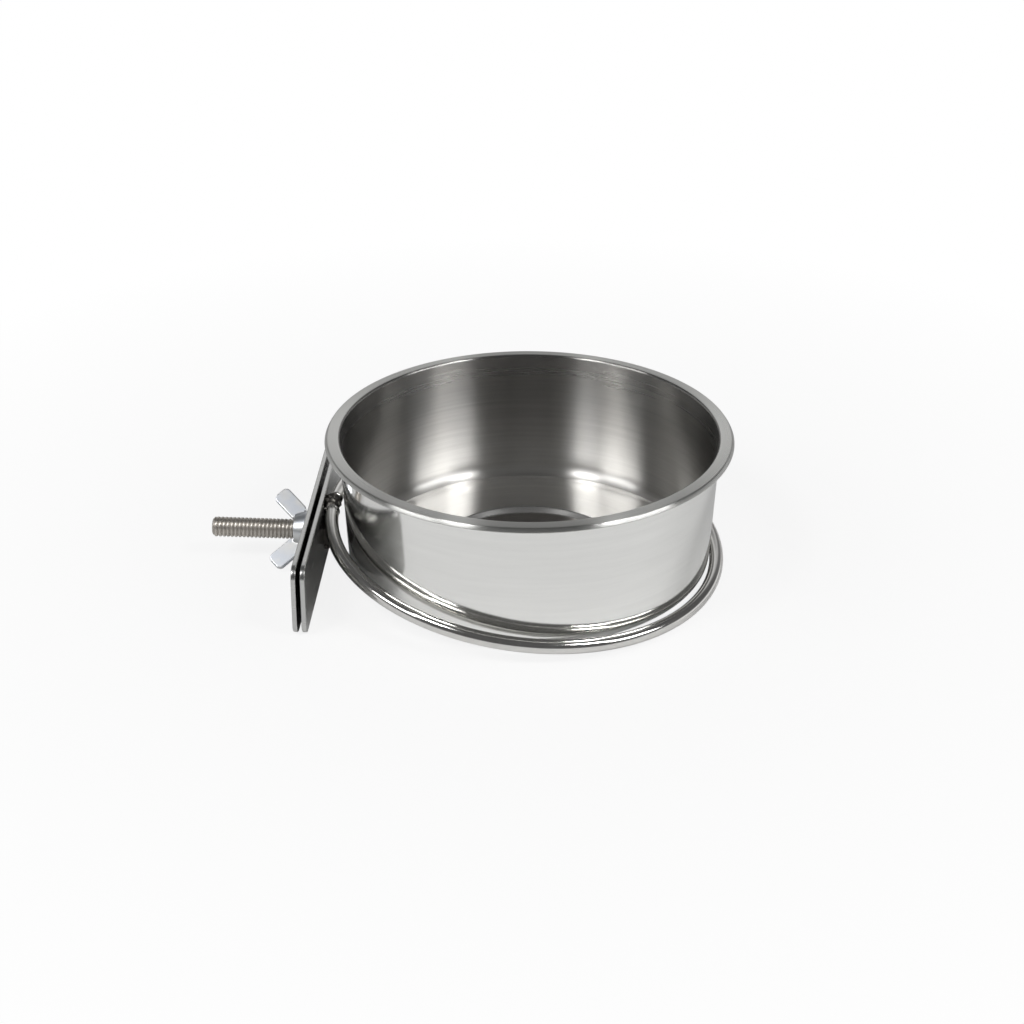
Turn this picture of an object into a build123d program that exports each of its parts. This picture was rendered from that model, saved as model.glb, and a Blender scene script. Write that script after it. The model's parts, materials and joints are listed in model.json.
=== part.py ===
"""A steel seed cup standing in its screw clamp holder.

The cup is a drawn bowl with a flat lip. The holder is a wire ring welded to a flat plate, with a
bolt through the plate, a second plate loose on the bolt and a wing nut that drives it. On a cage the
bars sit between the two plates, and the cup drops into the ring until its lip lands on the wire.
Here the cup stands on a table with the ring lying round its foot.

Millimetres. The origin is the centre of the cup's foot, on the table. +Z is up, and the clamp is
on the -X side.
"""
from build123d import *
import math
import os

# Bowl
lip_radius = 63.5
lip_overhang = 4.2
wall_taper = 2.0
bowl_height = 45.7
sheet = 0.5
corner_radius = 4.6
foot_radius = 30.5
foot_drop = 1.3
foot_run = 1.8
foot_bend = 1.2
lip_bend = 0.9
lip_fall = 0.25
lip_edge_round = 0.2

# Wire ring, and how it leans on the table: the clamp side and the far side are up
wire_diameter = 4.4
ring_play = 0.1
ring_tip = 6.5
ring_pitch = 4.1
ring_shift_x = -1.3
ring_shift_y = -0.3
wire_end_gap = 7.0

# Clamp plates
plate_length = 97.0
plate_height = 22.7
plate_thickness = 1.45
plate_corner = 4.0
plate_edge = 0.3
plate_yaw = 2.3
plate_lean = 0.9
jaw_turns_open = 1
jaw_shut_gap = 0.03
weld_gap = 0.15

# Bolt, with a quarter inch thread of twenty turns to the inch
bolt_diameter = 6.35
thread_pitch = 1.27
bolt_length = 36.2
bolt_end_chamfer = 0.7
head_across_flats = 9.2
head_height = 3.4
head_chamfer = 0.5
bolt_above_table = 10.1
bolt_beyond_ring_centre = 1.0
plate_hole_clearance = 0.3

# Wing nut
nut_height = 5.8
nut_base_radius = 6.1
nut_top_radius = 4.7
nut_collar = 1.2
nut_thread_clearance = 0.05
wing_span = 27.0
wing_width = 5.6
wing_thickness = 1.9
wing_splay = 45.0
wing_corner = 1.6
wing_root_height = 4.0
wing_turn = 50.0

# Welds
ring_weld_length = 9.2
ring_weld_radius = 2.7
ring_weld_beyond_bolt = 2.9
ring_weld_lift = 0.5
tack_length = 5.0
tack_radius = 1.8

# Worked out from the above
wall_radius = lip_radius - lip_overhang
wire_radius = wire_diameter / 2
ring_radius = wall_radius + ring_play + wire_radius
lean_cosine = math.cos(math.radians(ring_tip)) * math.cos(math.radians(ring_pitch))
ring_rise = ring_radius * math.sin(math.acos(lean_cosine)) + wire_radius
ring_place = Pos(ring_shift_x, ring_shift_y, ring_rise) * Rot(Y=ring_tip) * Rot(X=ring_pitch)

ring_reach = ring_radius * math.cos(math.radians(ring_tip)) + wire_radius
plate_face_x = ring_shift_x - ring_reach - weld_gap
bolt_y = ring_shift_y + bolt_beyond_ring_centre
bolt_z = bolt_above_table * math.cos(math.radians(plate_lean))
clamp_place = Pos(plate_face_x, bolt_y, bolt_z) * Rot(Z=-plate_yaw) * Rot(Y=plate_lean)
jaw_gap = jaw_turns_open * thread_pitch + jaw_shut_gap
outer_face = 2 * plate_thickness + jaw_gap
bolt_radius = bolt_diameter / 2


def cup():
    """The bowl: one sheet, drawn, with a dropped foot disc, a tapered wall and a flat lip."""
    floor = sheet + foot_drop
    inside = wall_radius - sheet
    food_side = [
        (0, sheet),
        (foot_radius, sheet),
        (foot_radius + foot_run, floor),
        (inside - wall_taper, floor),
        (inside, bowl_height),
        (lip_radius, bowl_height - lip_fall),
    ]
    bends = [foot_bend, foot_bend, corner_radius, lip_bend]
    bowl = revolve(Plane.XZ * sheet_section(food_side, bends), Axis.Z)
    lip_edges = bowl.edges().filter_by(GeomType.CIRCLE).sort_by(SortBy.RADIUS)[-2:]
    return fillet(lip_edges, lip_edge_round)


def sheet_section(points, bends):
    """A bent strip of sheet: its upper side runs along points, and the metal lies to their right."""
    turns = [turn_left(*points[i - 1:i + 2]) for i in range(1, len(points) - 1)]
    under_bends = [bend + sheet * turn for bend, turn in zip(bends, turns)]
    under_points = beside(points, sheet)
    upper = FilletPolyline(*points, radius=bends)
    under = FilletPolyline(*under_points, radius=under_bends)
    ends = [Line(points[0], under_points[0]), Line(points[-1], under_points[-1])]
    return make_face([upper, under, *ends])


def turn_left(before, corner, after):
    """1 where the path turns left at the corner, and -1 where it turns right."""
    along = Vector(*corner) - Vector(*before)
    onward = Vector(*after) - Vector(*corner)
    return math.copysign(1, along.cross(onward).Z)


def beside(points, distance):
    """The corners of a path that runs beside another, at a distance to its right."""
    steps = [(Vector(*b) - Vector(*a)).normalized() for a, b in zip(points, points[1:])]
    rights = [Vector(step.Y, -step.X) for step in steps]
    moved = [Vector(*points[0]) + rights[0] * distance]
    for corner, before, after in zip(points[1:-1], rights, rights[1:]):
        moved.append(Vector(*corner) + (before + after) * (distance / (1 + before.dot(after))))
    moved.append(Vector(*points[-1]) + rights[-1] * distance)
    return [(point.X, point.Y) for point in moved]


def wire_ring():
    """The ring: an open turn of wire whose two ends stop short of each other at the weld."""
    gap_angle = math.degrees(wire_end_gap / ring_radius)
    turn = revolve(Plane.XZ * Pos(ring_radius, 0) * Circle(wire_radius), Axis.Z, 360 - gap_angle)
    return ring_place * Rot(Z=weld_angle() + gap_angle / 2) * turn


def weld_angle():
    """Where on the ring its ends meet, counted from +X."""
    past_centre = bolt_beyond_ring_centre + ring_weld_beyond_bolt
    return 180 - math.degrees(math.asin(past_centre / ring_radius))


def clamp_plate(cup_side):
    """A bar with rounded corners and a bolt hole. Its face towards the cup is cup_side off the datum."""
    middle = plate_height / 2 - bolt_above_table
    outline = Pos(0, middle) * RectangleRounded(plate_length, plate_height, plate_corner)
    hole = Circle(bolt_radius + plate_hole_clearance)
    bar = extrude(away_from_cup(cup_side) * (outline - hole), plate_thickness)
    wide_faces = bar.faces().sort_by(SortBy.AREA)[-2:]
    rims = [edge for face in wide_faces for edge in face.outer_wire().edges()]
    return clamp_place * fillet(rims, plate_edge)


def away_from_cup(distance):
    """A plane across the bolt, its normal along the thread, with up in the clamp as its y."""
    return Plane(origin=(-distance, 0, 0), x_dir=(0, -1, 0), z_dir=(-1, 0, 0))


def bolt():
    """Hexagon head on the cup's side, and a shank at the thread's outer diameter."""
    stand = (Align.CENTER, Align.CENTER, Align.MIN)
    corner_circle = head_across_flats / math.sqrt(3)
    hexagon = extrude(RegularPolygon(corner_circle, 6), head_height)
    turned = Cylinder(corner_circle, head_height, align=stand)
    turned = chamfer(turned.edges().group_by(Axis.Z)[-1], head_chamfer)
    head = Plane(origin=(0, 0, 0), x_dir=(0, 1, 0), z_dir=(1, 0, 0)) * (hexagon & turned)
    shank = Cylinder(bolt_radius, bolt_length, align=stand)
    shank = chamfer(shank.edges().group_by(Axis.Z)[-1], bolt_end_chamfer)
    return clamp_place * (head + away_from_cup(0) * shank)


def wing_nut():
    """A coned hub on a short collar, with two flat wings that splay away from the plates."""
    bore_radius = bolt_radius + nut_thread_clearance
    side = Polyline(
        (bore_radius, 0),
        (nut_base_radius, 0),
        (nut_base_radius, nut_collar),
        (nut_top_radius, nut_height),
        (bore_radius, nut_height),
        close=True,
    )
    nut = revolve(Plane.XZ * make_face(side), Axis.Z)
    for turn in (0, 180):
        nut += Rot(Z=turn) * wing()
    bore = Cylinder(bore_radius, 2 * wing_span)
    upright = Rot(Z=90 + wing_turn)
    return clamp_place * away_from_cup(outer_face).location * upright * (nut - bore)


def wing():
    """One wing: a flat blade with round corners that leaves the hub's wall at the splay angle."""
    splay = math.radians(wing_splay)
    root_x = nut_top_radius
    square_width = wing_width / 2 - wing_corner
    tip_x = wing_span / 2 - wing_corner * (1 - math.sin(splay)) - square_width * math.cos(splay)
    length = (tip_x - root_x) / math.sin(splay)
    along = Plane(
        origin=(root_x, 0, wing_root_height),
        x_dir=(math.sin(splay), 0, math.cos(splay)),
        z_dir=(0, -1, 0),
    )
    blade = Pos(length / 2, 0) * RectangleRounded(length, wing_width, wing_corner)
    return extrude(along * blade, wing_thickness / 2, both=True)


def lump(length, radius):
    """A rounded bead of weld metal, longest along Y."""
    half = Ellipse(length / 2, radius) & Pos(0, radius / 2) * Rectangle(length, radius)
    return Rot(Z=90) * revolve(half, Axis.X)


def ring_weld(ring):
    """The bead that fills the gap between the wire ends and joins them to the plate."""
    wire_middle = ring_place * Rot(Z=weld_angle()) * Pos(ring_radius, 0, 0)
    bead_middle = wire_middle.position + Vector(-ring_weld_lift, 0, ring_weld_lift)
    bead = Pos(*bead_middle) * lump(ring_weld_length, ring_weld_radius)
    return bead - ring - past_fixed_face()


def bolt_weld(screw):
    """The tack under the bolt's head, on the plate's cup face."""
    tack = clamp_place * Pos(0, 0, -head_across_flats / 2) * lump(tack_length, tack_radius)
    return tack - screw - past_fixed_face()


def past_fixed_face():
    """The space on the clamp's side of the fixed plate's cup face."""
    side = 2 * plate_length
    return clamp_place * Pos(-side / 2, 0, 0) * Box(side, side, side)


ring_piece = wire_ring()
bolt_piece = bolt()
pieces = {
    "cup": cup(),
    "wire_ring": ring_piece,
    "ring_weld": ring_weld(ring_piece),
    "fixed_plate": clamp_plate(0),
    "bolt": bolt_piece,
    "bolt_weld": bolt_weld(bolt_piece),
    "loose_plate": clamp_plate(plate_thickness + jaw_gap),
    "wing_nut": wing_nut(),
}

os.makedirs("parts", exist_ok=True)
for node, shape in pieces.items():
    export_step(shape, f"parts/{node}.step")
    box = shape.bounding_box()
    low = tuple(round(value, 2) for value in box.min)
    high = tuple(round(value, 2) for value in box.max)
    print(node, len(shape.solids()), "solid", round(shape.volume, 1), "mm3", low, high)

bolt_end = clamp_place * Pos(-1, 0, 0)
bolt_start = clamp_place.position
print("bolt axis", [round(value, 6) for value in (bolt_end.position - bolt_start)])
print("bolt at the fixed plate", [round(value, 4) for value in bolt_start])
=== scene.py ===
# %% [markdown]
# # A steel seed cup in its screw clamp holder
#
# A seed cup is a drawn steel bowl that hangs on the bars of a bird cage. A wire ring carries it, two
# flat plates pinch the bars, and a wing nut on a long bolt tightens them. Here the cup stands on a
# table with the ring lying round its foot.
#
# The solids of the part already have the right places and sizes. This lesson dresses them. Polished
# steel shows every facet of a mesh, so each piece is made again as a fine, smooth skin, and then gets
# a finish made of shader nodes. The first cell loads the solids, and gives a helper that reads the
# box of one of them.

# %% Load the solids
import json
import math

import bmesh
import bpy
import numpy as np
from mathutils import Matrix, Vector, noise


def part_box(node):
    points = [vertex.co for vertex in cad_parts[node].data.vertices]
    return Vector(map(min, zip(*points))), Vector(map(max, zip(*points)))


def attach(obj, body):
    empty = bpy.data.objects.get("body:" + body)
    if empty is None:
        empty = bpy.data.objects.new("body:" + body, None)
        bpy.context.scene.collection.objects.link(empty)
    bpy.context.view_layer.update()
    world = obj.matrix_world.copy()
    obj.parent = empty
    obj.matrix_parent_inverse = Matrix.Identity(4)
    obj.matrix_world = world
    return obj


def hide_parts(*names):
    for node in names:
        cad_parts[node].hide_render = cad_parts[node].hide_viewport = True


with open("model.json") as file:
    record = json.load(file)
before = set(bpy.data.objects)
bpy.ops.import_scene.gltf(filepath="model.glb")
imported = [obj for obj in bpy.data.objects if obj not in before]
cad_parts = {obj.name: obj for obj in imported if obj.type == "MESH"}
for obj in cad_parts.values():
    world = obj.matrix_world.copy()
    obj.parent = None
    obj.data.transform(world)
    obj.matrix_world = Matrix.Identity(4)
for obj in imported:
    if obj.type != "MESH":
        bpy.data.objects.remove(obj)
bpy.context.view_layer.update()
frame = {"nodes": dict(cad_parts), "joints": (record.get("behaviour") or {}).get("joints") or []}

joints = {joint["name"]: joint for joint in frame["joints"]}
mm = 0.001
print("solids:", sorted(frame["nodes"]))

# %% [markdown]
# ## Skins from rows of points
#
# A bowl, a wire, a plate and a bolt can all be skinned the same way: work out rows of points that run
# once round the piece, then join each row to the next with quads. A modifier such as Screw or Bevel
# could make some of them, but rows keep every edge loop where the light needs it, and one helper
# serves all the pieces. Where a row shrinks to one point, the doubles are merged, so the skin closes.

# %% Helpers that skin rows of points
merge_distance = 0.0001 * mm


def skin(name, rows, closed=False, finishes=None):
    """A smooth mesh over rows of points; finishes gives each band between rows its material slot."""
    rows = np.asarray(rows, float)
    count, width = rows.shape[:2]
    bands = count if closed else count - 1
    row, column = np.meshgrid(np.arange(bands), np.arange(width), indexing="ij")
    row_up = (row + 1) % count
    next_column = (column + 1) % width
    corners = [row * width + column, row * width + next_column,
               row_up * width + next_column, row_up * width + column]
    mesh = bpy.data.meshes.new(name)
    mesh.from_pydata(rows.reshape(-1, 3).tolist(), [], np.stack(corners, -1).reshape(-1, 4).tolist())
    if finishes is not None:
        mesh.polygons.foreach_set("material_index", np.repeat(finishes, width))
    return close_skin(mesh)


def close_skin(mesh):
    """Merges the points that lie on each other, turns all faces outwards and shades them smooth."""
    shell = bmesh.new()
    shell.from_mesh(mesh)
    bmesh.ops.remove_doubles(shell, verts=shell.verts, dist=merge_distance)
    bmesh.ops.dissolve_degenerate(shell, edges=shell.edges, dist=merge_distance)
    bmesh.ops.recalc_face_normals(shell, faces=shell.faces)
    shell.to_mesh(mesh)
    shell.free()
    mesh.polygons.foreach_set("use_smooth", [True] * len(mesh.polygons))
    return mesh


def turned(count):
    """The unit vectors round a full turn: one row of points, seen along +Z, counted from +X."""
    angles = np.linspace(0, 2 * np.pi, count, endpoint=False)
    return np.stack([np.cos(angles), np.sin(angles), np.zeros(count)], -1)


# %% [markdown]
# ## Pieces that ride on a body
#
# Each solid belongs to a body that a joint can move: the cup lifts out, the loose plate slides and
# the nut turns. A new piece has to ride on the same body and say which solid it stands for. One
# helper does all of it, so no piece stays behind when something moves.

# %% A helper that puts a piece in the scene
def place(mesh, body, node, slot, *finishes):
    """Puts a mesh in the scene as a piece that rides on a body and stands for a node of the solids."""
    piece = bpy.data.objects.new(mesh.name, mesh)
    bpy.context.scene.collection.objects.link(piece)
    for finish in finishes:
        mesh.materials.append(finish)
    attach(piece, body)
    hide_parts(node)
    print(f"{mesh.name}: {len(mesh.polygons)} faces on {body}, for {node}")


# %% [markdown]
# ## Finishes that share their parts
#
# Bare metal has no colour of its own beyond a grey tint. What tells one steel part from another is
# how it was worked: brushing leaves fine grooves, polishing removes them, plating softens them. So
# every finish here starts from the same metal shader and adds a few nodes. A small helper that makes
# a node and feeds its inputs keeps those lines short.

# %% Helpers that add nodes
def metal(name, tint, roughness):
    """A new metal finish: its node tree and its shader, with the even values set on the shader."""
    finish = bpy.data.materials.new(name)
    finish.use_nodes = True
    shader = finish.node_tree.nodes["Principled BSDF"]
    shader.inputs["Base Color"].default_value = (*tint, 1)
    shader.inputs["Metallic"].default_value = 1
    shader.inputs["Roughness"].default_value = roughness
    return finish, finish.node_tree, shader


def add(tree, kind, *sources, **settings):
    """A new node with its settings, its first inputs fed by sockets or set to plain values."""
    made = tree.nodes.new(kind)
    for setting, value in settings.items():
        setattr(made, setting, value)
    for socket, source in zip(made.inputs, sources):
        if isinstance(source, bpy.types.NodeSocket):
            tree.links.new(source, socket)
        elif source is not None:
            socket.default_value = source
    return made.outputs[0]


# %% [markdown]
# ## Small sums between nodes
#
# The nodes between a noise and a shader mostly do small sums: they multiply two values, measure a
# vector, or turn one range of values into another. Each kind gets a short name here. The fade is the
# most useful: while one value runs from a start to an end, another runs from low to high.

# %% Helpers for sums and fades
def math_node(tree, operation, *sources):
    """One step of arithmetic."""
    return add(tree, "ShaderNodeMath", *sources, operation=operation)


def vector_node(tree, operation, *sources):
    """One step of arithmetic with vectors."""
    return add(tree, "ShaderNodeVectorMath", *sources, operation=operation)


def fade(tree, value, start, end, low, high, kind="LINEAR"):
    """Runs from low to high while the value runs from start to end, and holds outside of that."""
    return add(tree, "ShaderNodeMapRange", value, start, end, low, high, interpolation_type=kind)


def spread(tree, value, low, high):
    """A value from 0 to 1, spread between low and high."""
    return fade(tree, value, 0.0, 1.0, low, high)


def ease(tree, value, start, end, low, high):
    """A fade that starts and ends gently."""
    return fade(tree, value, start, end, low, high, "SMOOTHSTEP")


# %% [markdown]
# ## Grain, tint, roughness and bump
#
# No worked metal is even. Its grain is noise here, stretched along the way the tool moved. The noise
# is fed with the place of each point in the piece's own frame, so it needs no unwrapping, and it
# stays put when the piece moves. One grain can then do three things: change the tint, change the
# roughness, and raise a very shallow bump.

# %% Helpers for grain
def object_place(tree):
    """Where a point lies in the part's own frame, in metres."""
    return tree.nodes.new("ShaderNodeTexCoord").outputs["Object"]


def grain(tree, place_vector, scale, detail=3.0):
    """Noise from 0 to 1, with most of it near the middle."""
    made = tree.nodes.new("ShaderNodeTexNoise")
    tree.links.new(place_vector, made.inputs["Vector"])
    made.inputs["Scale"].default_value = scale
    made.inputs["Detail"].default_value = detail
    return made.outputs["Fac"]


def tint_by(tree, shader, tint, value, low, high):
    """The metal's tint, darker and lighter with a value from 0 to 1."""
    mixed = vector_node(tree, "SCALE", tint)
    tree.links.new(spread(tree, value, low, high), mixed.node.inputs["Scale"])
    tree.links.new(mixed, shader.inputs["Base Color"])


def rough_by(tree, shader, value, low, high):
    """The metal's roughness, lower and higher with a value from 0 to 1."""
    tree.links.new(spread(tree, value, low, high), shader.inputs["Roughness"])


def bump_by(tree, shader, height, depth):
    """A bump of the given depth in metres."""
    bump = tree.nodes.new("ShaderNodeBump")
    bump.inputs["Strength"].default_value = 1
    bump.inputs["Distance"].default_value = depth
    tree.links.new(height, bump.inputs["Height"])
    tree.links.new(bump.outputs["Normal"], shader.inputs["Normal"])


# %% [markdown]
# ## Brushing that runs round
#
# The inside of the bowl was brushed on a lathe, turning under an abrasive pad, so its grooves run
# round. Light spreads across grooves and hardly along them, which makes a lamp show as an upright
# band on the wall. The shader does this with anisotropy, along a tangent that runs round Z. The
# scratches that show are noise on a ring: the direction from the axis changes slowly and the way
# along the section fast, so the streaks run round too, and have no seam.

# %% Helpers for brushing
def around_axis(tree, slow, fast):
    """A place for grain whose streaks run round the Z axis, with no seam."""
    spot = object_place(tree)
    flat = vector_node(tree, "MULTIPLY", spot, (1, 1, 0))
    outward = vector_node(tree, "NORMALIZE", flat)
    slow_place = vector_node(tree, "MULTIPLY", outward, (slow, slow, 0))
    from_axis = vector_node(tree, "LENGTH", flat).node.outputs["Value"]
    height = add(tree, "ShaderNodeSeparateXYZ", spot).node.outputs["Z"]
    along = math_node(tree, "ADD", from_axis, height)
    fast_place = add(tree, "ShaderNodeCombineXYZ", 0.0, 0.0, math_node(tree, "MULTIPLY", along, fast))
    return vector_node(tree, "ADD", slow_place, fast_place)


def brush_round(tree, shader, anisotropy):
    """Spreads the shine across grooves that run round Z."""
    quarter_turn = 0.25
    tangent = tree.nodes.new("ShaderNodeTangent")
    tangent.direction_type = "RADIAL"
    tangent.axis = "Z"
    tree.links.new(tangent.outputs["Tangent"], shader.inputs["Tangent"])
    shader.inputs["Anisotropic"].default_value = anisotropy
    shader.inputs["Anisotropic Rotation"].default_value = quarter_turn


# %% [markdown]
# ## The wall and the floor
#
# Wall and floor were brushed in one go, but not alike. The wall kept its grooves, and its tint is
# painted darker with height, as painted shade that makes its lamp bands fade towards the lip, while its
# shine gets narrower with height. The floor came out smoother. It mirrors the foot of the wall, and the
# two bands run on in it as wide bright patches. Its tint is set far lighter than the wall's, as a
# painted highlight that brightens those patches. One function makes both finishes, because they
# differ only in its values.

# %% The brushed finishes
def brushed(name, tint, anisotropy, smoothest, roughest):
    """Steel brushed round the axis, with fine streaks, smoother towards the lip, its tint painted darker
    there as painted shade.
    """
    finish, tree, shader = metal(name, tint, roughest)
    brush_round(tree, shader, anisotropy)
    streaks = grain(tree, around_axis(tree, slow=1.6, fast=900.0), scale=1.0, detail=5.0)
    height = add(tree, "ShaderNodeSeparateXYZ", object_place(tree)).node.outputs["Z"]
    # Painted shade: the tint darkens with height so that the lamp bands fade towards the lip.
    painted_shade_by_height = fade(tree, height, start=8 * mm, end=32 * mm, low=1.0, high=0.62)
    shade = math_node(tree, "MULTIPLY", spread(tree, streaks, low=0.76, high=1.0), painted_shade_by_height)
    tint_by(tree, shader, tint, shade, low=0.0, high=1.0)
    buffing = fade(tree, height, start=10 * mm, end=46 * mm, low=1.0, high=0.87)
    roughness = math_node(tree, "MULTIPLY", spread(tree, streaks, smoothest, roughest), buffing)
    tree.links.new(roughness, shader.inputs["Roughness"])
    bump_by(tree, shader, streaks, depth=0.001 * mm)
    return finish


wall_tint = (0.72, 0.71, 0.69)
# Painted highlight: the floor's tint is set far lighter than the wall's to brighten its bright patches.
floor_tint_painted_bright = (0.99, 0.98, 0.96)
wall_finish = brushed("brushed_wall", wall_tint, anisotropy=1.0, smoothest=0.295, roughest=0.318)
floor_finish = brushed("brushed_floor", floor_tint_painted_bright, anisotropy=0.6, smoothest=0.18, roughest=0.28)
print("finishes:", wall_finish.name, floor_finish.name)

# %% [markdown]
# ## The polished outside
#
# The outside is polished nearly to a mirror, so it shows the white table, the ring and the clamp. A
# perfect mirror looks like glass, though. Buffing leaves faint lines round the wall, and drawing the
# sheet leaves it a little wavy, which the reflections betray. Both are small bumps here.

# %% The polished finish
def polished_outside():
    """Steel buffed bright, a little wavy, with faint lines round it."""
    tint = (0.92, 0.92, 0.9)
    finish, tree, shader = metal("polished_outside", tint, roughness=0.1)
    lines = grain(tree, around_axis(tree, slow=2.0, fast=700.0), scale=1.0, detail=4.0)
    waves = grain(tree, object_place(tree), scale=45.0, detail=1.0)
    tint_by(tree, shader, tint, lines, low=0.94, high=1.05)
    rough_by(tree, shader, lines, low=0.07, high=0.15)
    line_height = 0.02
    height = math_node(tree, "ADD", math_node(tree, "MULTIPLY", lines, line_height), waves)
    bump_by(tree, shader, height, depth=0.05 * mm)
    return finish


outside_finish = polished_outside()
print("finish:", outside_finish.name)

# %% [markdown]
# ## The turned lip
#
# The lip was trimmed and smoothed with the bowl still turning, so its lines run round too, but they
# are finer than those of the wall. It could share the wall's finish. Then it would be as dull as the
# top of the wall, though, and a lip that is handled every day stays bright.

# %% The lip's finish
def turned_lip():
    """Turned like the inside, then buffed nearly bright."""
    tint = (0.63, 0.63, 0.61)
    finish, tree, shader = metal("turned_lip", tint, roughness=0.4)
    brush_round(tree, shader, anisotropy=1.0)
    lines = grain(tree, around_axis(tree, slow=1.6, fast=1200.0), scale=1.0, detail=4.0)
    tint_by(tree, shader, tint, lines, low=0.9, high=1.07)
    rough_by(tree, shader, lines, low=0.24, high=0.34)
    bump_by(tree, shader, lines, depth=0.001 * mm)
    return finish


lip_finish = turned_lip()
print("finish:", lip_finish.name)

# %% [markdown]
# ## The foot disc
#
# The bowl stands on a disc that is pressed a little below its floor. The pad did not reach it, so it
# still has the skin that the sheet got in the rolling mill, mottled the same in all directions, so its
# grain is plain noise, with no stretch and no anisotropy. Its tint is set darker than the wall's, as
# painted shade on the sunk disc.

# %% The foot's finish
def pressed_foot():
    """The sheet's own rolled skin, with its tint painted darker as painted shade."""
    # Painted shade: the sunk disc's tint is darker than the wall's.
    tint = (0.50, 0.475, 0.46)
    finish, tree, shader = metal("pressed_foot", tint, roughness=0.22)
    skin_marks = grain(tree, object_place(tree), scale=350.0, detail=4.0)
    tint_by(tree, shader, tint, skin_marks, low=0.85, high=1.1)
    rough_by(tree, shader, skin_marks, low=0.17, high=0.3)
    bump_by(tree, shader, skin_marks, depth=0.003 * mm)
    return finish


foot_finish = pressed_foot()
print("finish:", foot_finish.name)

# %% [markdown]
# ## A section with rounded corners
#
# A drawn bowl is one bent sheet, so its section is one line: straight runs with a round bend between
# them. The helper takes the corners and the bend at each, and gives points along the line. Long runs
# are divided as well, so that the shading of a flat stays flat right up to a bend. The other side of
# the sheet is the same line, moved over by the sheet's thickness.

# %% Helpers for bent sheet
def bent_path(corners, bends, step=math.radians(5), spacing=2 * mm):
    """Points along straight runs whose inner corners are arcs, with no run longer than the spacing."""
    corners = [np.array(corner, float) for corner in corners]
    path = [corners[0]]
    for before, corner, after, bend in zip(corners, corners[1:], corners[2:], bends):
        back = (before - corner) / np.linalg.norm(before - corner)
        ahead = (after - corner) / np.linalg.norm(after - corner)
        half = math.acos(back @ ahead) / 2
        middle = corner + (back + ahead) / np.linalg.norm(back + ahead) * bend / math.sin(half)
        first, last = (corner + way * bend / math.tan(half) - middle for way in (back, ahead))
        start, end = (math.atan2(arm[1], arm[0]) for arm in (first, last))
        turn = (end - start + math.pi) % (2 * math.pi) - math.pi
        for part in np.linspace(0, 1, max(2, math.ceil(abs(turn) / step)) + 1):
            angle = start + part * turn
            path.append(middle + bend * np.array([math.cos(angle), math.sin(angle)]))
    path.append(corners[-1])
    return divided(path, spacing)


def divided(path, spacing):
    """The same path, with points added so that none are further apart than the spacing."""
    fine = [path[0]]
    for begin, end in zip(path, path[1:]):
        pieces = max(1, math.ceil(np.linalg.norm(end - begin) / spacing))
        fine += [begin + (end - begin) * k / pieces for k in range(1, pieces + 1)]
    return np.array(fine)


def beside(path, distance):
    """The same path moved to its right."""
    ways = np.gradient(path, axis=0)
    ways /= np.linalg.norm(ways, axis=1)[:, None]
    return path + distance * np.stack([ways[:, 1], -ways[:, 0]], -1)


# %% [markdown]
# ## The bowl's section
#
# From the middle outwards, the sheet makes a foot disc, a small step up to the floor, a rounded
# corner, a wall that opens a little, and a lip whose rim is rolled down. The rolled rim is small, but
# it matters: it catches a thin bright line all along the front. The cut edge of the sheet is a half
# round.

# %% The section of the bowl
lip_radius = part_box("cup")[1].x
lip_overhang = 4.2 * mm
wall_radius = lip_radius - lip_overhang
wall_taper = 2.0 * mm
bowl_height = 45.7 * mm
sheet = 0.5 * mm
floor_height = 1.8 * mm
foot_radius = 30.5 * mm
step_run = 1.8 * mm
step_bend = 1.2 * mm
corner_radius = 4.6 * mm
lip_bend = 0.9 * mm
lip_fall = 0.25 * mm
roll_reach = 0.7 * mm
roll_drop = 1.0 * mm
roll_bend = 0.8 * mm
edge_inset = sheet / 8
edge_points = 9
inside_radius = wall_radius - sheet
lip_height = bowl_height - lip_fall

food_side = bent_path(
    [(0, sheet), (foot_radius, sheet), (foot_radius + step_run, floor_height),
     (inside_radius - wall_taper, floor_height), (inside_radius, bowl_height),
     (lip_radius - roll_reach, lip_height), (lip_radius - edge_inset, lip_height - roll_drop)],
    [step_bend, step_bend, corner_radius, lip_bend, roll_bend],
)
under_side = beside(food_side, sheet)
under_side[0, 0] = 0
edge_middle = (food_side[-1] + under_side[-1]) / 2
end_across = food_side[-1] - under_side[-1]
edge_start = math.atan2(end_across[1], end_across[0])
edge_angles = np.linspace(edge_start, edge_start - math.pi, edge_points)[1:-1]
edge = edge_middle + sheet / 2 * np.stack([np.cos(edge_angles), np.sin(edge_angles)], -1)
section = np.concatenate([food_side, edge, under_side[::-1]])
print(len(section), "points in the section, widest at", round(section[:, 0].max() / mm, 2), "mm")

# %% [markdown]
# ## The bowl
#
# Turning the section round Z gives the bowl. Each band between two rows gets one of the five
# finishes, by where it lies: lip, foot, floor, wall or outside. A painted mask could do that too, but
# whole bands give borders that are true circles, as the lathe left them.

# %% The bowl's skin
bowl_points = 320
wall_slot, outside_slot, lip_slot, foot_slot, floor_slot = range(5)
on_top = np.arange(len(section) - 1) < len(food_side) + len(edge)
past_lip_bend = section[:-1, 0] > inside_radius + lip_bend / 2
on_lip = on_top & past_lip_bend & (section[:-1, 1] > bowl_height / 2)
on_foot = on_top & (section[1:, 0] < foot_radius - step_bend / 4)
on_floor = on_top & (section[1:, 0] < inside_radius - wall_taper - corner_radius / 2)
bowl_bands = np.select([on_lip, on_foot, on_floor, on_top],
                       [lip_slot, foot_slot, floor_slot, wall_slot], outside_slot)
bowl_rows = [radius * turned(bowl_points) + (0, 0, height) for radius, height in section]
place(skin("bowl", bowl_rows, finishes=bowl_bands), "cup", "cup", "cup_steel",
      wall_finish, outside_finish, lip_finish, foot_finish, floor_finish)

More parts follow.
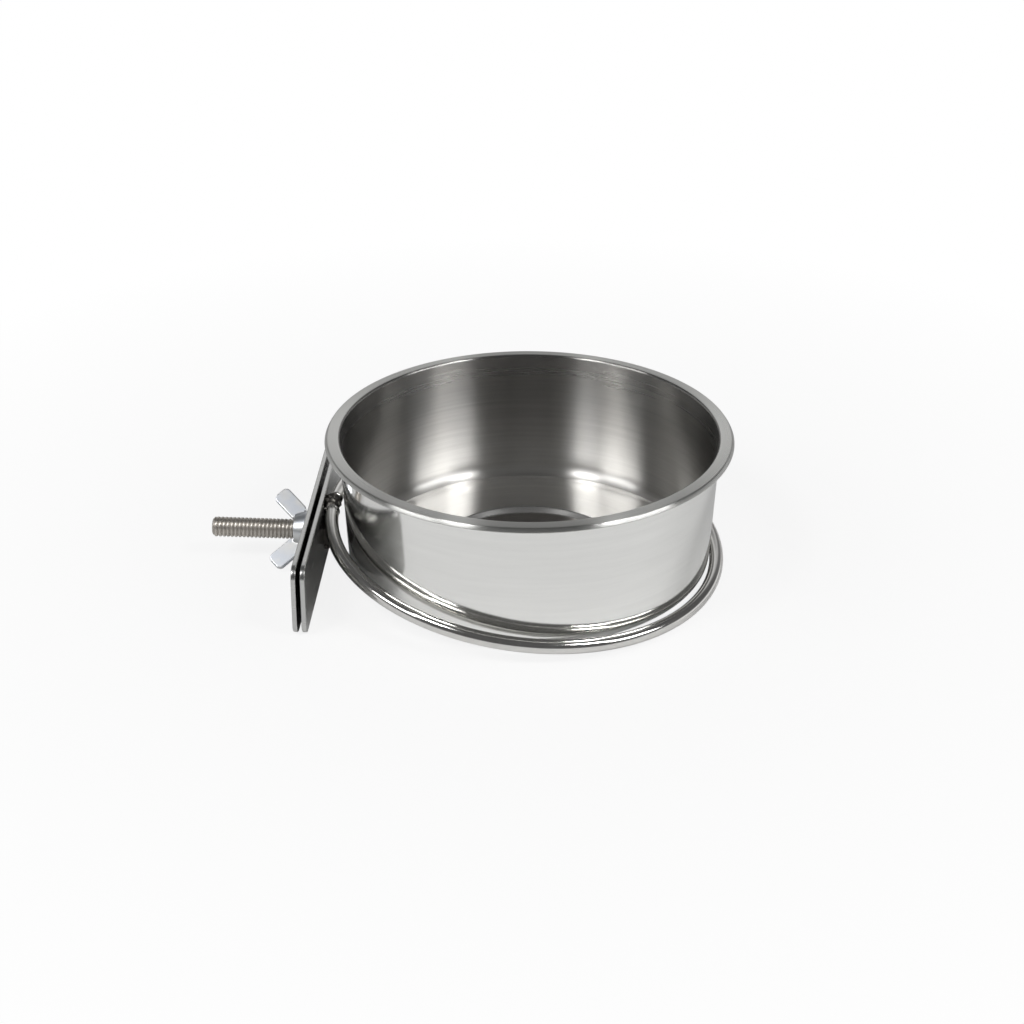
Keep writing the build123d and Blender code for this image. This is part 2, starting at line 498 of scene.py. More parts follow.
# %% [markdown]
# ## The wire's finish
#
# The ring is thick wire with a bright plating. Wire is drawn through a die, which leaves fine lines
# along it, and they still show through the plating. The ring lies nearly flat round the Z axis, so
# the grain that runs round the bowl also runs along the wire. Soft clouds in the tint keep it from
# looking new.

# %% The ring's finish
def plated_wire():
    """Bright plating with drawing lines along the wire."""
    tint = (0.76, 0.75, 0.73)
    finish, tree, shader = metal("plated_wire", tint, roughness=0.1)
    lines = grain(tree, around_axis(tree, slow=1.2, fast=1500.0), scale=1.0)
    clouds = grain(tree, object_place(tree), scale=160.0)
    tint_by(tree, shader, tint, clouds, low=0.9, high=1.08)
    rough_by(tree, shader, lines, low=0.06, high=0.17)
    bump_by(tree, shader, lines, depth=0.006 * mm)
    return finish


wire_finish = plated_wire()
print("finish:", wire_finish.name)

# %% [markdown]
# ## How the ring lies
#
# The ring leans on the table, with the clamp's side and the far side up. So it has directions of its
# own, tipped twice, and a centre that is just high enough for its lowest point to touch the table.
# Its two ends stop short of each other at the weld. A row of points is a circle round the wire, at an
# angle on the ring.

# %% The ring's place
wire_radius = 2.2 * mm
ring_play = 0.1 * mm
ring_radius = wall_radius + ring_play + wire_radius
ring_tip = math.radians(6.5)
ring_pitch = math.radians(4.1)
wire_end_gap = 7.0 * mm
weld_past_centre = 3.9 * mm
wire_points = 36

ring_low, ring_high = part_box("wire_ring")
ring_lean = math.acos(math.cos(ring_tip) * math.cos(ring_pitch))
ring_lift = ring_radius * math.sin(ring_lean) + wire_radius
ring_centre = np.array([(ring_low.x + ring_high.x) / 2, (ring_low.y + ring_high.y) / 2, ring_lift])
ring_x = np.array([math.cos(ring_tip), 0, -math.sin(ring_tip)])
ring_y = np.array([math.sin(ring_tip) * math.sin(ring_pitch), math.cos(ring_pitch),
                   math.cos(ring_tip) * math.sin(ring_pitch)])
ring_up = np.cross(ring_x, ring_y)


def wire_row(angle, along, radius):
    """A circle of points round the wire, at an angle on the ring, moved on along the wire."""
    outward = math.cos(angle) * ring_x + math.sin(angle) * ring_y
    onward = np.cross(ring_up, outward)
    middle = ring_centre + ring_radius * outward + along * onward
    circle = turned(wire_points)
    return middle + radius * (circle[:, :1] * outward + circle[:, 1:2] * ring_up)


print("the ring leans by", round(math.degrees(ring_lean), 1), "degrees")

# %% [markdown]
# ## The wire ring
#
# A bevelled curve could make the ring quickly. Rows do more, because the radius can change along the
# wire: where the near end was pressed hot against the weld, it bulged out into a small collar, which
# welders call flash. The rows swell there over less than a millimetre.

# %% The ring's skin
flash_height = 0.35 * mm
flash_length = 0.9 * mm
flash_rows = 8
flash_lean = 0.6
cut_chamfer = 0.1 * mm
ring_steps = 340

weld_angle = math.pi - math.asin(weld_past_centre / ring_radius)
half_gap = wire_end_gap / 2 / ring_radius
first_angle = weld_angle + half_gap
last_angle = weld_angle + 2 * math.pi - half_gap
ring_rows = [wire_row(first_angle, 0, 0)]
for part in np.linspace(0, 1, flash_rows, endpoint=False):
    swelling = flash_height * math.sin(math.pi * part ** flash_lean) - cut_chamfer * (1 - part)
    ring_rows.append(wire_row(first_angle, part * flash_length, wire_radius + swelling))
ring_angles = np.linspace(first_angle, last_angle, ring_steps)
past_flash = ring_angles - first_angle > flash_length / ring_radius
ring_rows += [wire_row(angle, 0, wire_radius) for angle in ring_angles[past_flash]]
ring_rows.append(wire_row(last_angle, 0, 0))
place(skin("ring", ring_rows), "holder", "wire_ring", "ring_wire", wire_finish)

# %% [markdown]
# ## The clamp's own directions
#
# Everything on the clamp lines up with its bolt. The nut's joint gives the bolt's line and a point on
# the fixed plate's face, so the clamp's three directions come from there: out along the bolt, level
# along the plates, and up. They could be typed in as numbers, but this way they follow the part when
# it changes.

# %% Directions of the clamp
clamp_out = np.array(joints["nut_turn"]["axis"])
clamp_out /= np.linalg.norm(clamp_out)
clamp_along = np.cross(clamp_out, (0, 0, 1))
clamp_along /= np.linalg.norm(clamp_along)
clamp_up = np.cross(clamp_along, clamp_out)
clamp_origin = np.array(joints["nut_turn"]["pos_m"])


def in_clamp(points):
    """Points given along the plates, up and out along the bolt, moved to the part's frame."""
    points = np.asarray(points, float)
    return clamp_origin + points @ np.stack([clamp_along, clamp_up, clamp_out])


print("the bolt points along", clamp_out.round(4))

# %% [markdown]
# ## The plates' finishes
#
# The plates are cut from rolled sheet, tumbled in a drum until their edges are soft, and plated.
# Their faces keep the rolled grain along the bar, and their edges have marks across it. Both are
# noise, and what differs is the way it is stretched: slow along the grain, fast across it.

# %% The plates' finishes
def plated_plate():
    """Satin plating over sheet, with a fine rolled grain along the bar."""
    tint = (0.50, 0.50, 0.49)
    finish, tree, shader = metal("plated_plate", tint, roughness=0.24)
    slow, fast = 60, 900
    along_bar = vector_node(tree, "MULTIPLY", object_place(tree), (fast, slow, fast))
    lines = grain(tree, along_bar, scale=1.0, detail=4.0)
    clouds = grain(tree, object_place(tree), scale=120.0)
    tint_by(tree, shader, tint, clouds, low=0.85, high=1.1)
    rough_by(tree, shader, lines, low=0.17, high=0.32)
    bump_by(tree, shader, lines, depth=0.004 * mm)
    return finish


def tumbled_edge():
    """The cut edge of a plate, tumbled bright, with faint marks across it."""
    tint = (0.62, 0.62, 0.61)
    finish, tree, shader = metal("tumbled_edge", tint, roughness=0.22)
    slow, fast = 90, 900
    across_edge = vector_node(tree, "MULTIPLY", object_place(tree), (slow, fast, fast))
    marks = grain(tree, across_edge, scale=1.0)
    tint_by(tree, shader, tint, marks, low=0.85, high=1.12)
    rough_by(tree, shader, marks, low=0.16, high=0.34)
    bump_by(tree, shader, marks, depth=0.006 * mm)
    return finish


plate_finishes = plated_plate(), tumbled_edge()
print("finishes:", [finish.name for finish in plate_finishes])

# %% [markdown]
# ## Outlines of a plate
#
# A plate is a long bar with round corners and a hole for the bolt. Two outlines describe it: the
# bar's own, which can be moved in by an inset, and a circle round the bolt. Each point of the circle
# lies in line with a point of the bar's outline, so the quads between them spread out from the hole
# like rays.

# %% Outlines of the plates
plate_length = 97.0 * mm
plate_height = 22.7 * mm
plate_thickness = 1.45 * mm
plate_corner = 4.0 * mm
plate_edge = 0.3 * mm
bolt_above_edge = 10.1 * mm
bolt_radius = 3.175 * mm
hole_clearance = 0.3 * mm
hole_radius = bolt_radius + hole_clearance
jaw_gap = 1.3 * mm
corner_points = 13
long_points = 44
short_points = 8


def plate_outline(inset):
    """The plate's outline, moved in by an inset: four quarter rounds joined by straight runs."""
    half_size = np.array([plate_length, plate_height]) / 2 - plate_corner
    middle = np.array([0, plate_height / 2 - bolt_above_edge])
    quarters = []
    for quarter, side in enumerate([(1, 1), (-1, 1), (-1, -1), (1, -1)]):
        angles = (quarter + np.linspace(0, 1, corner_points)) * math.pi / 2
        arms = (plate_corner - inset) * np.column_stack([np.cos(angles), np.sin(angles)])
        quarters.append(middle + half_size * side + arms)
    run_points = [long_points, short_points] * 2
    outline = []
    for quarter, after, points in zip(quarters, quarters[1:] + quarters[:1], run_points):
        outline += [quarter, np.linspace(quarter[-1], after[0], points)[1:-1]]
    return np.concatenate(outline)


def hole_outline(outline, radius):
    """A circle round the bolt, each point in line with a point of the outline."""
    return radius * outline / np.linalg.norm(outline, axis=1)[:, None]


print(len(plate_outline(0)), "points in a plate's outline")

# %% [markdown]
# ## The clamp plates
#
# The rows of a plate start at the hole on the cup's face, spread over the face, turn round the edge
# in an arc and come back over the other face to the hole. A row just inside the edge, and one just
# outside the hole, keep the wide faces flat in the light. A Bevel modifier would need such rows too.
# The fixed plate belongs to the holder, and the loose one to a body that slides along the bolt.

# %% The plates' skins
face_support = 0.4 * mm
arc_rows = 6
face_slot, edge_slot = range(2)


def plate_rows(start):
    """Rows from the hole over one face, round the edge, and back to the hole over the other face."""
    outer = plate_outline(0)
    near, far = start, start + plate_thickness
    rows = [
        (hole_outline(outer, hole_radius), near + plate_edge),
        (hole_outline(outer, hole_radius + plate_edge), near),
        (hole_outline(outer, hole_radius + plate_edge + face_support), near),
        (plate_outline(plate_edge + face_support), near),
    ]
    for angle in np.linspace(0, math.pi / 2, arc_rows):
        inset = plate_edge * (1 - math.sin(angle))
        rows.append((plate_outline(inset), near + plate_edge * (1 - math.cos(angle))))
    for angle in np.linspace(math.pi / 2, 0, arc_rows):
        inset = plate_edge * (1 - math.sin(angle))
        rows.append((plate_outline(inset), far - plate_edge * (1 - math.cos(angle))))
    rows += [
        (plate_outline(plate_edge + face_support), far),
        (hole_outline(outer, hole_radius + plate_edge + face_support), far),
        (hole_outline(outer, hole_radius + plate_edge), far),
        (hole_outline(outer, hole_radius), far - plate_edge),
    ]
    return [in_clamp(np.column_stack([flat, np.full(len(flat), depth)])) for flat, depth in rows]


# The far side has one band more, which is the wall of the hole
near_bands = 4
far_bands = near_bands + 1
plate_bands = [face_slot] * near_bands + [edge_slot] * (2 * arc_rows - 1) + [face_slot] * far_bands
for name, node, body, start in [("fixed_bar", "fixed_plate", "holder", 0),
                                ("loose_bar", "loose_plate", "outer_jaw", plate_thickness + jaw_gap)]:
    plate_mesh = skin(name, plate_rows(start), closed=True, finishes=plate_bands)
    place(plate_mesh, body, node, "plate_steel", *plate_finishes)

# %% [markdown]
# ## The bolt's finishes
#
# The thread was rolled and left bright, and it is the only warm grey on the object. Its finish is
# darker and rougher deeper in the thread, so it reads a value that the mesh stores at each point: how
# deep in the thread it lies. The head is another matter. It was welded to the plate, and its tint is
# painted dark, as painted shade of the dark gap between the plate and the wire.

# %% The thread's and the head's finish
def rolled_steel():
    """Warm bright steel, darker and rougher deeper in the roots of the thread."""
    tint = (0.60, 0.565, 0.52)
    finish, tree, shader = metal("rolled_steel", tint, roughness=0.26)
    depth = tree.nodes.new("ShaderNodeAttribute")
    depth.attribute_name = "root"
    specks = grain(tree, object_place(tree), scale=900.0)
    speck_share = 0.3
    # Darker and rougher deeper in the thread roots, with random specks mixed in.
    root_depth_and_specks = math_node(tree, "MULTIPLY_ADD", specks, speck_share, depth.outputs["Fac"])
    tint_by(tree, shader, tint, root_depth_and_specks, low=1.1, high=0.9)
    rough_by(tree, shader, root_depth_and_specks, low=0.36, high=0.5)
    bump_by(tree, shader, specks, depth=0.006 * mm)
    return finish


def head_painted_dark():
    """Steel with its tint painted dark as painted shade, with a few brighter specks."""
    # Painted shade: a dark tint for the head, which sits in the dark gap between the plate and the wire.
    tint = (0.15, 0.14, 0.13)
    finish, tree, shader = metal("head_painted_dark", tint, roughness=0.3)
    head_tone_noise = grain(tree, object_place(tree), scale=600.0, detail=4.0)
    tint_by(tree, shader, tint, head_tone_noise, low=0.5, high=1.6)
    rough_by(tree, shader, head_tone_noise, low=0.22, high=0.42)
    bump_by(tree, shader, head_tone_noise, depth=0.02 * mm)
    return finish


bolt_finishes = rolled_steel(), head_painted_dark()
print("finishes:", [finish.name for finish in bolt_finishes])

# %% [markdown]
# ## Rows that climb
#
# The bolt has a quarter inch thread of twenty turns to the inch, and the joints tell its pitch: how
# far the plate slides in one turn of the nut. A bump map would fade at the outline, where the ridges
# show most, so the thread is real geometry. Its rows do not lie flat. Each one climbs by one pitch in
# a turn, so one row stays on the crest and one in the root all the way along. At the ends, the rows
# are held at the end faces. Rolling leaves the crests a little flat, so the wave of the ridges is cut
# off at the top.

# %% Rows of the thread
bolt_length = 36.2 * mm
bolt_chamfer = 0.7 * mm
turns_open = joints["nut_turn"]["range_deg"][1] / 360
thread_pitch = round(joints["jaw_slide"]["range_m"][1] / turns_open / mm, 2) * mm
thread_depth = 0.36 * mm
crest_end = 0.1
rows_per_turn = 12
bolt_points = 72
bolt_around = turned(bolt_points)
turn_part = np.arange(bolt_points) / bolt_points


def bolt_row(radius, height):
    """A row of points round the bolt."""
    radius = np.broadcast_to(radius, turn_part.shape)
    height = np.broadcast_to(height, turn_part.shape)
    return in_clamp(np.column_stack([bolt_around[:, :2] * radius[:, None], height]))


def thread_row(step):
    """A row that climbs by one pitch as it goes round, held between the bolt's two ends."""
    height = np.clip((step / rows_per_turn + turn_part) * thread_pitch, 0, bolt_length)
    wave = np.cos(2 * np.pi * (height / thread_pitch - turn_part))
    ridge = bolt_radius - thread_depth * np.clip(crest_end - wave, 0, 1)
    end_cone = bolt_radius - bolt_chamfer + (bolt_length - height)
    return bolt_row(np.minimum(ridge, end_cone), height)


print("the thread climbs", round(thread_pitch / mm, 2), "mm in a turn")

# %% [markdown]
# ## The bolt
#
# The head is a plain hexagon with chamfered corners. Its rows have as many points as those of the
# thread, so head and thread are one skin. In a row of the hexagon, the radius is longest at the
# corners, and the chamfer takes off what stands out past a circle. The edges of the head stay sharp,
# because smooth shading across them would make it look like a pebble.

# %% The bolt's skin
head_radius = 4.6 * mm
head_height = 3.4 * mm
head_chamfer = 0.5 * mm
sharp_from = math.radians(40)
thread_slot, head_slot = range(2)

from_flat = (2 * np.pi * turn_part + np.pi / 6) % (np.pi / 3) - np.pi / 6
hexagon = head_radius / np.cos(from_flat)
head_top = np.minimum(hexagon, hexagon.max() - head_chamfer)
corner_drop = hexagon - head_top
bolt_rows = [bolt_row(0, -head_height), bolt_row(head_top, -head_height),
             bolt_row(hexagon, corner_drop - head_height), bolt_row(hexagon, 0)]
head_bands = len(bolt_rows)
last_step = math.ceil(bolt_length / thread_pitch * rows_per_turn)
bolt_rows += [thread_row(step) for step in range(1 - rows_per_turn, last_step)]
bolt_rows.append(bolt_row(0, bolt_length))
thread_bands = len(bolt_rows) - 1 - head_bands
screw_mesh = skin("screw", bolt_rows, finishes=[head_slot] * head_bands + [thread_slot] * thread_bands)
screw_mesh.set_sharp_from_angle(angle=sharp_from)
print("the bolt has", len(bolt_rows), "rows,", head_bands, "of them on its head")

# %% [markdown]
# ## Depth in the thread
#
# The thread's finish wants to know how deep in the thread each point lies. A mesh can carry such a
# value as an attribute, one number for each point. It could be noted while the rows are made, but
# merging the doubles renumbers the points, so it is measured on the finished mesh instead.

# %% The bolt with its depths
bolt_places = np.empty(len(screw_mesh.vertices) * 3)
screw_mesh.vertices.foreach_get("co", bolt_places)
arms = bolt_places.reshape(-1, 3) - clamp_origin
from_axis = np.linalg.norm(arms - np.outer(arms @ clamp_out, clamp_out), axis=1)
roots = np.clip((bolt_radius - from_axis) / thread_depth, 0, 1)
screw_mesh.attributes.new("root", "FLOAT", "POINT").data.foreach_set("value", roots)
place(screw_mesh, "holder", "bolt", "bolt_steel", *bolt_finishes)

# %% [markdown]
# ## The nut's finish
#
# The wing nut is plated with zinc, which is paler than steel. Its protective dip tints it faintly,
# blue in some places and straw in others, so a ramp between two pale tints follows soft clouds. A
# much finer grain stands for the crystals of the zinc, and changes only the roughness and the bump.

# %% Zinc plating
def zinc_plating():
    """Pale zinc with a faint blue and straw passivation."""
    finish, tree, shader = metal("zinc_plating", (0.78, 0.80, 0.83), roughness=0.3)
    clouds = grain(tree, object_place(tree), scale=220.0, detail=2.0)
    ramp = tree.nodes.new("ShaderNodeValToRGB")
    blue, straw = ramp.color_ramp.elements
    blue.position = 0.35
    blue.color = (0.70, 0.73, 0.78, 1)
    straw.position = 0.65
    straw.color = (0.79, 0.79, 0.78, 1)
    tree.links.new(clouds, ramp.inputs["Fac"])
    tree.links.new(ramp.outputs["Color"], shader.inputs["Base Color"])
    spangle = grain(tree, object_place(tree), scale=1400.0, detail=2.0)
    rough_by(tree, shader, spangle, low=0.3, high=0.44)
    bump_by(tree, shader, spangle, depth=0.002 * mm)
    return finish


nut_finish = zinc_plating()
print("finish:", nut_finish.name)

# %% [markdown]
# ## The nut's hub
#
# A wing nut is cast or pressed in one piece. It is easier to make from three simple skins, which
# become one body later. The first is the hub: a short collar under a cone, with the bolt's bore. Its
# section is turned round Z like the bowl's, upright at the origin.

# %% The hub's skin
nut_height = 5.8 * mm
nut_base_radius = 6.1 * mm
nut_top_radius = 4.7 * mm
nut_collar = 1.2 * mm
thread_clearance = 0.05 * mm
bore_radius = bolt_radius + thread_clearance
hub_points = 96

hub_profile = [(bore_radius, 0), (nut_base_radius, 0), (nut_base_radius, nut_collar),
               (nut_top_radius, nut_height), (bore_radius, nut_height)]
hub_rows = [radius * turned(hub_points) + (0, 0, height) for radius, height in hub_profile]
hub = skin("hub", hub_rows, closed=True)
print("hub:", len(hub.polygons), "faces")

# %% [markdown]
# ## The nut's wings
#
# Two flat wings splay away from the work, so that fingers can get behind them. A wing is a blade with
# round corners. Its outline is drawn once, along the splay angle, and given a thickness. Both wings
# come from one function, and one of them is mirrored.

# %% The wings' skins
wing_span = 27.0 * mm
wing_width = 5.6 * mm
wing_thickness = 1.9 * mm
wing_splay = math.radians(45)
wing_corner = 1.6 * mm
wing_root_height = 4.0 * mm
wing_corner_points = 7


def wing_outline():
    """The outline of a wing on its flat side: a blade with round corners, along the splay angle."""
    way = np.array([math.sin(wing_splay), math.cos(wing_splay)])
    across = np.array([-way[1], way[0]])
    square_width = wing_width / 2 - wing_corner
    tip_x = wing_span / 2 - wing_corner * (1 - way[0]) - square_width * way[1]
    length = (tip_x - nut_top_radius) / way[0]
    root = np.array([nut_top_radius, wing_root_height])
    outline = []
    for quarter, (end, edge_side) in enumerate([(1, 1), (0, 1), (0, -1), (1, -1)]):
        for part in np.linspace(0, 1, wing_corner_points):
            angle = (quarter + part) * math.pi / 2
            along = end * length + (1 - 2 * end) * wing_corner + wing_corner * math.cos(angle)
            wide = edge_side * square_width + wing_corner * math.sin(angle)
            outline.append(root + along * way + wide * across)
    return np.array(outline)


def nut_wing(side):
    """One wing, to the right where side is 1 and to the left where it is -1."""
    outline = wing_outline()
    middle = np.repeat(outline.mean(0)[None], len(outline), 0)
    rows = []
    for flat, half in [(middle, -1), (outline, -1), (outline, 1), (middle, 1)]:
        depth = np.full(len(flat), half * wing_thickness / 2)
        rows.append(np.column_stack([side * flat[:, 0], depth, flat[:, 1]]))
    return skin("wing", rows)


wings = [nut_wing(1), nut_wing(-1)]
print("wings:", [len(wing.polygons) for wing in wings], "faces")

# %% [markdown]
# ## The nut in its place
#
# Hub and wings go into one mesh, which then moves to its place on the bolt: standing on the loose
# plate, with the wings turned the way the thread stopped them. Turning the object would do for a
# picture. Here the points themselves move, so that the piece is in the part's frame like all the
# others.

# %% One mesh on the bolt
wing_turn = math.radians(50)
nut_start = 2 * plate_thickness + jaw_gap

nut_shell = bmesh.new()
for part in [hub, *wings]:
    nut_shell.from_mesh(part)
nut_mesh = bpy.data.meshes.new("winged_nut")
nut_shell.to_mesh(nut_mesh)
nut_shell.free()
wing_way = math.cos(wing_turn) * clamp_up + math.sin(wing_turn) * clamp_along
thin_way = np.cross(clamp_out, wing_way)
nut_places = np.empty(len(nut_mesh.vertices) * 3)
nut_mesh.vertices.foreach_get("co", nut_places)
nut_places = nut_places.reshape(-1, 3) @ np.stack([wing_way, thin_way, clamp_out])
nut_places += clamp_origin + nut_start * clamp_out
nut_mesh.vertices.foreach_set("co", nut_places.ravel())
print("the nut stands", round(nut_start / mm, 2), "mm out on the bolt")

# %% [markdown]
# ## The wing nut
#
# On the real nut the wings run into the hub with small fillets, which a plain join of meshes does not
# have. So the mesh is remeshed into one body by voxels, and smoothed a little, which softens every
# edge as plating does. A boolean union with a bevel could do it too, but it often fails where thin
# wings cross a cone.

# %% The nut's one skin
voxel = 0.13 * mm
smooth_share = 0.5
smooth_rounds = 6

draft = bpy.data.objects.new("nut_draft", nut_mesh)
bpy.context.scene.collection.objects.link(draft)
remesh = draft.modifiers.new("one body", "REMESH")
remesh.mode = "VOXEL"
remesh.voxel_size = voxel
soften = draft.modifiers.new("soft edges", "SMOOTH")
soften.factor = smooth_share
soften.iterations = smooth_rounds
bpy.context.view_layer.update()
nut_final = bpy.data.meshes.new_from_object(draft.evaluated_get(bpy.context.evaluated_depsgraph_get()))
bpy.data.objects.remove(draft)
nut_final.name = "nut"
nut_final.polygons.foreach_set("use_smooth", [True] * len(nut_final.polygons))
place(nut_final, "nut", "wing_nut", "nut_zinc", nut_finish)

# %% [markdown]
# ## The welds' finish
#
# Weld metal is left as it froze: a dark scale over rough metal, with bright spots where the scale
# chipped off. Noise through a steep ramp makes such patches, dark in most places and bright in a few.
# The same noise makes the bright spots smoother, and gives the whole bead its bumps.

# %% Dark weld metal
def weld_metal():
    """Dark scale over rough metal, with a few bright spots where it chipped off."""
    finish, tree, shader = metal("weld_metal", (0.1, 0.095, 0.09), roughness=0.5)
    patches = grain(tree, object_place(tree), scale=700.0, detail=4.0)
    ramp = tree.nodes.new("ShaderNodeValToRGB")
    scale, bare = ramp.color_ramp.elements
    scale.position = 0.48
    scale.color = (0.07, 0.066, 0.062, 1)
    bare.position = 0.68
    bare.color = (0.42, 0.40, 0.37, 1)
    tree.links.new(patches, ramp.inputs["Fac"])
    tree.links.new(ramp.outputs["Color"], shader.inputs["Base Color"])
    rough_by(tree, shader, patches, low=0.62, high=0.3)
    bump_by(tree, shader, patches, depth=0.12 * mm)
    return finish


weld_finish = weld_metal()
print("finish:", weld_finish.name)

# %% [markdown]
# ## The welds
#
# A bead of weld joins the wire's two ends to the fixed plate, and a tack holds the bolt's head. Weld
# metal freezes in overlapping ripples. Each bead is a long ellipsoid with ripples along it, whose
# points are pushed in and out by noise. What would come through the plate is pressed flat just inside
# its face, so that the loose plate can close on the other side.

# %% The welds' skins
bead_sink = 0.2 * mm
bead_rows = 33
bead_points = 32
ripple_height = 0.06
noise_size = 1.1 * mm


def bead(name, middle, length, radius, ripples, roughness):
    """A rippled bead of weld along the plate, pushed about by noise and cut flat inside the plate."""
    circle = turned(bead_points)
    spokes = -(circle[:, :1] * clamp_out + circle[:, 1:2] * clamp_up)
    rows = []
    for part in np.linspace(-1, 1, bead_rows):
        ripple = 1 + ripple_height * math.sin(ripples * math.pi * part)
        swell = math.sqrt(max(0, 1 - part * part)) * ripple
        core = middle + part * length / 2 * clamp_along
        row = core + radius * swell * spokes
        pushes = [roughness * noise.noise(Vector(point) / noise_size) for point in row]
        row += np.array(pushes)[:, None] * (row - core)
        past_face = np.maximum((row - clamp_origin) @ clamp_out - bead_sink, 0)
        rows.append(row - np.outer(past_face, clamp_out))
    return skin(name, rows)


ring_bead_lift = 0.5 * mm
ring_bead_place = wire_row(weld_angle, 0, 0)[0] + (-ring_bead_lift, 0, ring_bead_lift)
ring_bead = bead("ring_bead", ring_bead_place, 9.2 * mm, 2.6 * mm, ripples=5, roughness=0.22)
place(ring_bead, "holder", "ring_weld", "weld_metal", weld_finish)
tack_place = in_clamp([0, -head_radius, 0])
tack_bead = bead("tack_bead", tack_place, 5.0 * mm, 1.8 * mm, ripples=3, roughness=0.25)
place(tack_bead, "holder", "bolt_weld", "weld_metal", weld_finish)

# %% [markdown]
# ## The table
#
# The cup stands on a white table that runs on into a white backdrop. It is an ordinary pale surface,
# which takes the shadows and shows in the polished steel. To the camera alone it also glows, by way
# of the Light Path node, more so away from the cup. So the picture goes over into white without an
# edge, and a soft shadow stays round the cup. Lamps strong enough to do that would burn out the
# steel.

# %% The table's mesh and finish
table_half = 4.0
table_drop = 0.05 * mm
paint_colour = (0.9, 0.9, 0.9, 1)
glow_colour = (1, 1, 1, 1)

table_mesh = bpy.data.meshes.new("table")
table_sides = [(-1, -1), (1, -1), (1, 1), (-1, 1)]
table_corners = [(x * table_half, y * table_half, -table_drop) for x, y in table_sides]
table_mesh.from_pydata(table_corners, [], [(0, 1, 2, 3)])
table = bpy.data.objects.new("table", table_mesh)
bpy.context.scene.collection.objects.link(table)

table_finish = bpy.data.materials.new("white_table")
table_finish.use_nodes = True
tree = table_finish.node_tree
tree.nodes.remove(tree.nodes["Principled BSDF"])
to_camera = tree.nodes.new("ShaderNodeLightPath").outputs["Is Camera Ray"]
from_cup = vector_node(tree, "LENGTH", object_place(tree)).node.outputs["Value"]
whiteness = fade(tree, from_cup, start=0.09, end=0.3, low=0.86, high=1.0)
paint = add(tree, "ShaderNodeBsdfDiffuse", paint_colour)
glow = add(tree, "ShaderNodeEmission", glow_colour, 1.0)
glow_share = math_node(tree, "MULTIPLY", to_camera, whiteness)
surface = add(tree, "ShaderNodeMixShader", glow_share, paint, glow)
tree.links.new(surface, tree.nodes["Material Output"].inputs["Surface"])
table_mesh.materials.append(table_finish)
print("table:", 2 * table_half, "m wide")

# %% [markdown]
# ## The room
#
# Metal shows what surrounds it, so the room matters as much as the lamps do. A picture of a studio
# could light the scene, but a few smooth steps between plain greys are enough, and they can be tuned
# one by one. The horizon is light at the sides, and dimmer towards the camera and behind the cup.
# Above it the air is dark, which keeps the middle of the brushed wall dark, except for a grey patch
# behind the cup that the lip mirrors. To the camera the room is plain white.

# %% The room's light
dark_air = 0.1
world = bpy.data.worlds.new("studio")
bpy.context.scene.world = world
world.use_nodes = True
tree = world.node_tree
backdrop = tree.nodes["Background"]
backdrop.inputs["Color"].default_value = (1, 1, 1, 1)
direction = tree.nodes.new("ShaderNodeTexCoord").outputs["Generated"]
way = add(tree, "ShaderNodeSeparateXYZ", direction).node.outputs

front_to_side = ease(tree, way["Y"], start=-0.7, end=0.1, low=0.15, high=1.0)
side_to_back = ease(tree, way["Y"], start=0.55, end=0.9, low=1.0, high=0.3)
horizon = math_node(tree, "MULTIPLY", front_to_side, side_to_back)

aside = math_node(tree, "ABSOLUTE", way["X"])
patch_width = ease(tree, aside, start=0.2, end=0.45, low=0.68, high=0.1)
patch_depth = ease(tree, way["Y"], start=0.55, end=0.9, low=0.0, high=1.0)
patch_height = ease(tree, way["Z"], start=0.5, end=0.75, low=1.0, high=0.0)
patch = math_node(tree, "MULTIPLY", patch_depth, patch_width)
air = math_node(tree, "MULTIPLY_ADD", patch, patch_height, dark_air)

above = ease(tree, way["Z"], start=0.04, end=0.3, low=0.0, high=1.0)
room = add(tree, "ShaderNodeMix", above, None, horizon, air)
to_camera = tree.nodes.new("ShaderNodeLightPath").outputs["Is Camera Ray"]
level = add(tree, "ShaderNodeMix", to_camera, None, room, 1.0)
tree.links.new(level, backdrop.inputs["Strength"])
print("room:", len(tree.nodes), "nodes")

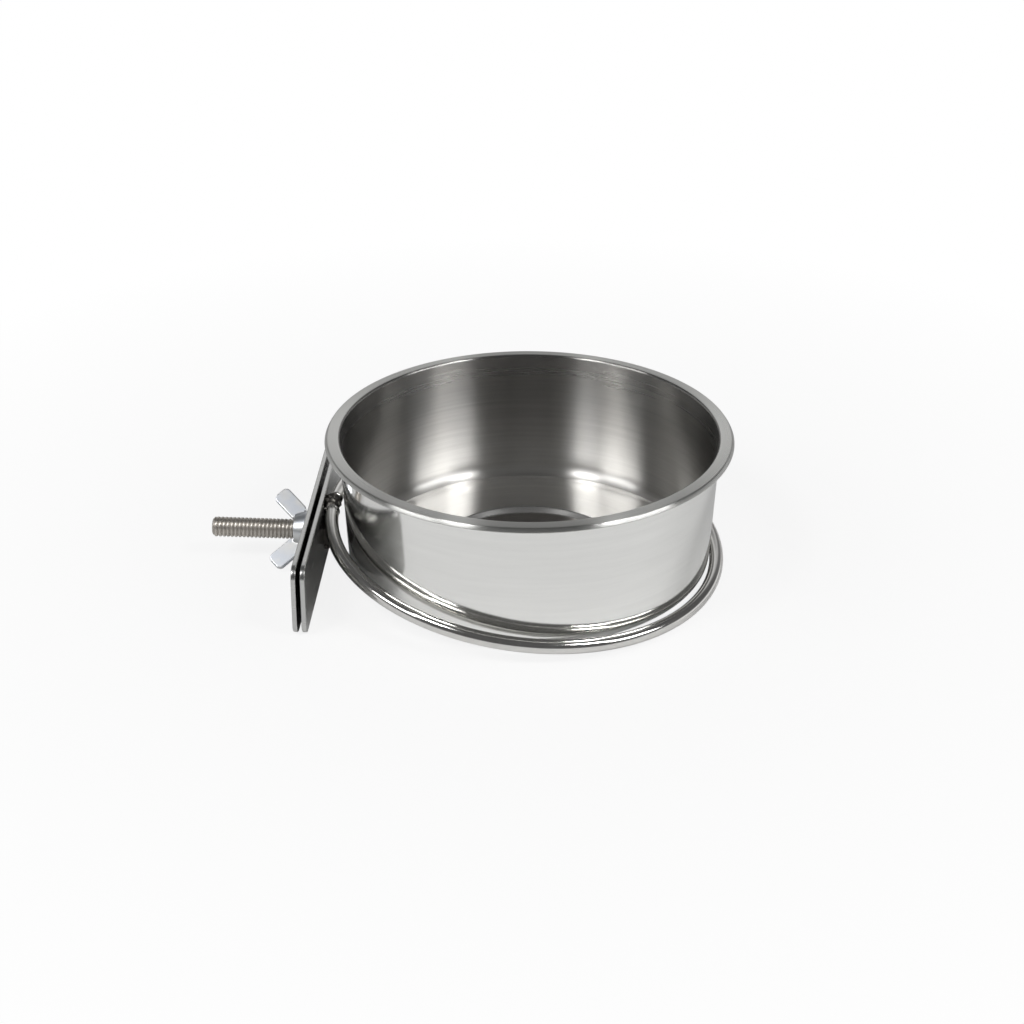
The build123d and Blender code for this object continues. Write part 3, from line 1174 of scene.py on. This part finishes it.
# %% [markdown]
# ## The lamps
#
# Where a brushed wall shines can be worked out. Its grooves run level, so a point on it is bright
# where it faces, seen from above, halfway between the lamp and the camera. A lamp to the right of the
# cup therefore makes its band left of the middle of the far wall, and the other way round.
#
# Two small lamps at the front sides make the two bands. Two wide lamps stand lower and further out.
# They reach the foot of the wall beside the bands, and the smooth floor mirrors that as two wide
# bright patches.

# %% Two small lamps and two wide ones
lamp_distance = 1.05


def soft_lamp(name, direction, width, height, power):
    """A lamp that hangs in a direction from the cup and points at it."""
    lamp = bpy.data.lights.new(name, "AREA")
    lamp.shape = "RECTANGLE"
    lamp.size = width
    lamp.size_y = height
    lamp.energy = power
    stand = bpy.data.objects.new(name, lamp)
    stand.location = Vector(direction).normalized() * lamp_distance
    stand.rotation_euler = (-stand.location).to_track_quat("-Z", "Y").to_euler()
    bpy.context.scene.collection.objects.link(stand)
    print(f"{name}: {power} W, {width} m wide")


soft_lamp("left_lamp", (-0.457, -0.398, 0.795), width=0.24, height=0.18, power=2.5)
soft_lamp("right_lamp", (0.537, -0.374, 0.756), width=0.24, height=0.18, power=2.3)
soft_lamp("left_side_lamp", (-0.75, -0.3, 0.59), width=0.45, height=0.25, power=2.1)
soft_lamp("right_side_lamp", (0.778, -0.271, 0.567), width=0.45, height=0.25, power=2.1)

# %% [markdown]
# ## The camera
#
# The photograph was taken from a little above, with a long lens, and the camera level from side to
# side. Its place, tilt and lens were found by lining the bowl's lip, the ring and the plates up with
# the picture.

# %% The camera
camera_data = bpy.data.cameras.new("camera")
camera_data.sensor_width = 36.0
camera_data.lens = 66.8
camera = bpy.data.objects.new("camera", camera_data)
camera.location = (-5.4 * mm, -531.9 * mm, 302.45 * mm)
camera_tilt = math.radians(61.78)
camera.rotation_euler = (camera_tilt, 0, 0)
bpy.context.scene.collection.objects.link(camera)
bpy.context.scene.camera = camera
bpy.context.scene.view_settings.view_transform = "Standard"
print("camera:", camera_data.lens, "mm lens,", round(camera.location.length, 3), "m from the cup's foot")
